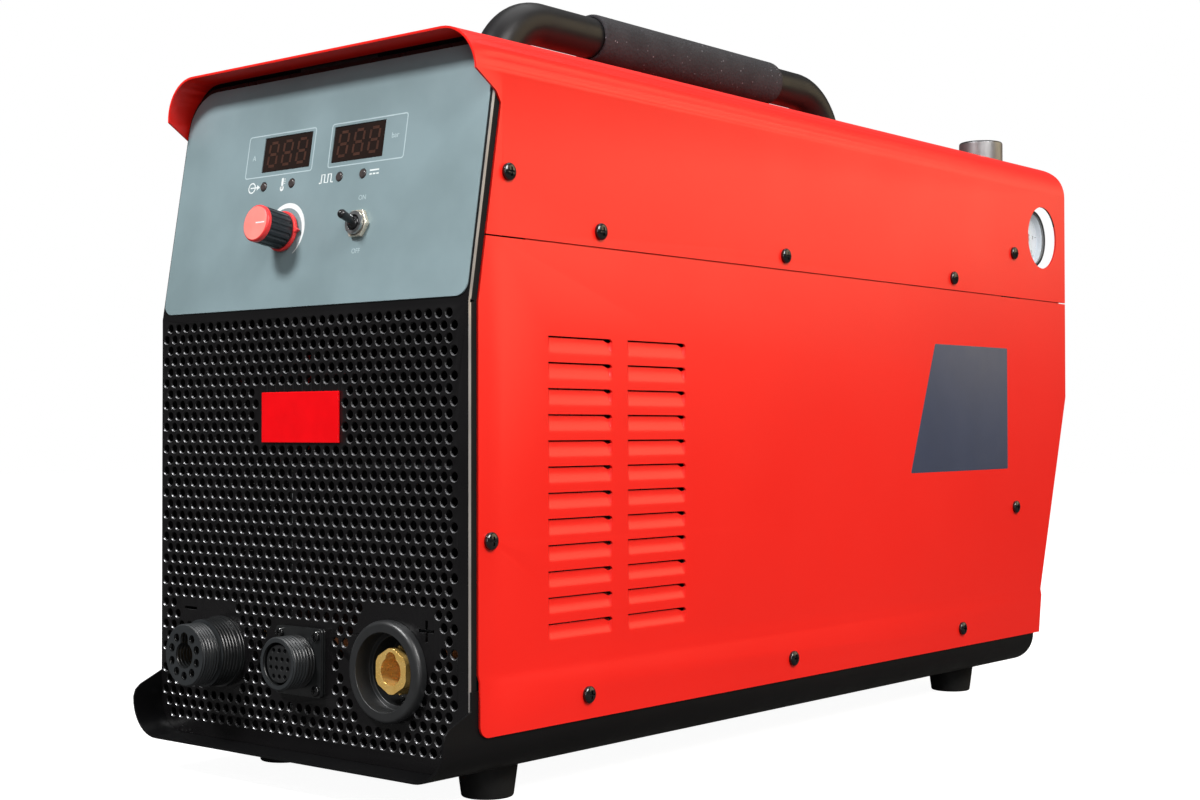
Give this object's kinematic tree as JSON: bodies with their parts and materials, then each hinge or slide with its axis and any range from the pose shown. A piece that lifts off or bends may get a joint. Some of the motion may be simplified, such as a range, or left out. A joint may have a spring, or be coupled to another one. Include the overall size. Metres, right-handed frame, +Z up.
{
  "type": "plasma cutter unit",
  "caption": "Portable air plasma cutting power source: sheet steel cabinet, carry handle, tilted control panel, front torch and work sockets, rear air regulator, fans and power stage.",
  "frame": {"origin": "on the floor, under the middle of the whole machine, at the underside of the rubber feet", "axes": "+X to the right seen from the front, +Y from the front sockets to the rear air inlet, +Z up"},
  "size_m": [0.2482, 0.665, 0.443],
  "materials": {
    "red_paint": "textured powder coat, satin",
    "black_paint": "textured powder coat, satin",
    "overlay_film": "printed polyester film, matt",
    "plate_red": "flat enamel, satin",
    "zinc_steel": "zinc plated, smooth",
    "black_screw": "black zinc, semi-gloss",
    "tube_black": "smooth enamel, semi-gloss",
    "foam": "closed foam, matt",
    "foot_rubber": "moulded, matt",
    "black_plastic": "moulded, satin",
    "brass": "turned, bright",
    "display_face": "smoked window, gloss",
    "lamp_lens": "clear lens, gloss",
    "board": "laminate with solder mask, satin",
    "knob_red": "moulded, satin",
    "lever_plastic": "moulded, semi-gloss",
    "cast_body": "die cast, satin",
    "knob_metal": "turned, knurled, satin",
    "bowl_clear": "clear bowl, gloss",
    "dial_white": "printed card, matt",
    "needle_red": "enamel, matt",
    "gauge_glass": "clear, gloss",
    "hose_rubber": "extruded, satin",
    "module_black": "moulded, matt",
    "core_steel": "stacked laminations, matt",
    "winding": "varnished copper, gloss"
  },
  "bodies": {
    "chassis": {"top_cover": "red_paint", "side_panel_right": "red_paint", "side_panel_left": "red_paint", "base_tray": "black_paint", "front_panel": "black_paint", "rear_panel": "black_paint", "control_overlay": "overlay_film", "name_plate": "plate_red", "handle_rail": "zinc_steel", "inner_deck": "zinc_steel", "handle_bolts": "zinc_steel", "foot_screws": "zinc_steel", "socket_nuts": "zinc_steel", "potentiometer": "zinc_steel", "toggle_nut": "zinc_steel", "toggle_body": "zinc_steel", "regulator_bracket": "zinc_steel", "shell_screws": "black_screw", "panel_screws": "black_screw", "carry_handle": "tube_black", "handle_grip": "foam", "rubber_feet": "foot_rubber", "torch_socket": "black_plastic", "pilot_socket": "black_plastic", "pilot_insert": "black_plastic", "work_socket": "black_plastic", "fan_frames": "black_plastic", "breaker_body": "black_plastic", "cable_gland": "black_plastic", "gauge_case": "black_plastic", "torch_contacts": "brass", "work_insert": "brass", "air_inlet": "brass", "solenoid_valve": "brass", "current_display": "display_face", "pressure_display": "display_face", "status_lamps": "lamp_lens", "control_board": "board", "power_board": "board", "regulator_body": "cast_body", "heat_sink": "cast_body", "filter_bowl": "bowl_clear", "gauge_dial": "dial_white", "gauge_lens": "gauge_glass", "air_hose": "hose_rubber", "power_modules": "module_black", "transformer_core": "core_steel", "transformer_coil": "winding", "output_choke": "winding"},
    "knob": {"knob_body": "black_plastic", "knob_cap": "knob_red", "knob_skirt": "knob_red"},
    "toggle": {"toggle_lever": "black_plastic"},
    "upper_fan": {"upper_rotor": "black_plastic"},
    "lower_fan": {"lower_rotor": "black_plastic"},
    "breaker": {"breaker_lever": "lever_plastic"},
    "needle": {"gauge_needle": "needle_red"},
    "spindle": {"adjust_spindle": "zinc_steel"},
    "lift_knob": {"regulator_knob": "knob_metal"},
    "drain": {"drain_valve": "black_plastic"}
  },
  "joints": [
    {"name": "current_knob_turn", "type": "hinge", "parent": "chassis", "child": "knob", "pos_m": [-0.022, -0.3004, 0.29072], "axis": [0, -0.9866, 0.1633], "range_deg": [-55, 245]},
    {"name": "toggle_tilt", "type": "hinge", "parent": "chassis", "child": "toggle", "pos_m": [0.0355, -0.30335, 0.29121], "axis": [1, 0, 0], "range_deg": [0, 26]},
    {"name": "upper_fan_spin", "type": "hinge", "parent": "chassis", "child": "upper_fan", "pos_m": [-0.03, 0.2445, 0.228], "axis": [0, 1, 0], "continuous": true},
    {"name": "lower_fan_spin", "type": "hinge", "parent": "chassis", "child": "lower_fan", "pos_m": [-0.03, 0.2445, 0.1], "axis": [0, 1, 0], "continuous": true},
    {"name": "breaker_flip", "type": "hinge", "parent": "chassis", "child": "breaker", "pos_m": [-0.03, 0.2605, 0.3315], "axis": [1, 0, 0], "range_deg": [0, 70]},
    {"name": "gauge_needle_turn", "type": "hinge", "parent": "chassis", "child": "needle", "pos_m": [0.108, 0.2952, 0.3265], "axis": [-1, 0, 0], "range_deg": [0, 270], "stiffness_Nm_per_rad": 0.00002},
    {"name": "pressure_turn", "type": "hinge", "parent": "chassis", "child": "spindle", "pos_m": [0.0705, 0.2952, 0.355], "axis": [0, 0, 1], "range_deg": [-1080, 1080]},
    {"name": "pressure_knob_lift", "type": "slide", "parent": "spindle", "child": "lift_knob", "axis": [0, 0, 1], "range_m": [0, 0.003]},
    {"name": "drain_push", "type": "slide", "parent": "chassis", "child": "drain", "axis": [0, 0, 1], "range_m": [0, 0.003], "stiffness_N_per_m": 60, "springref_m": -0.002}
  ]
}
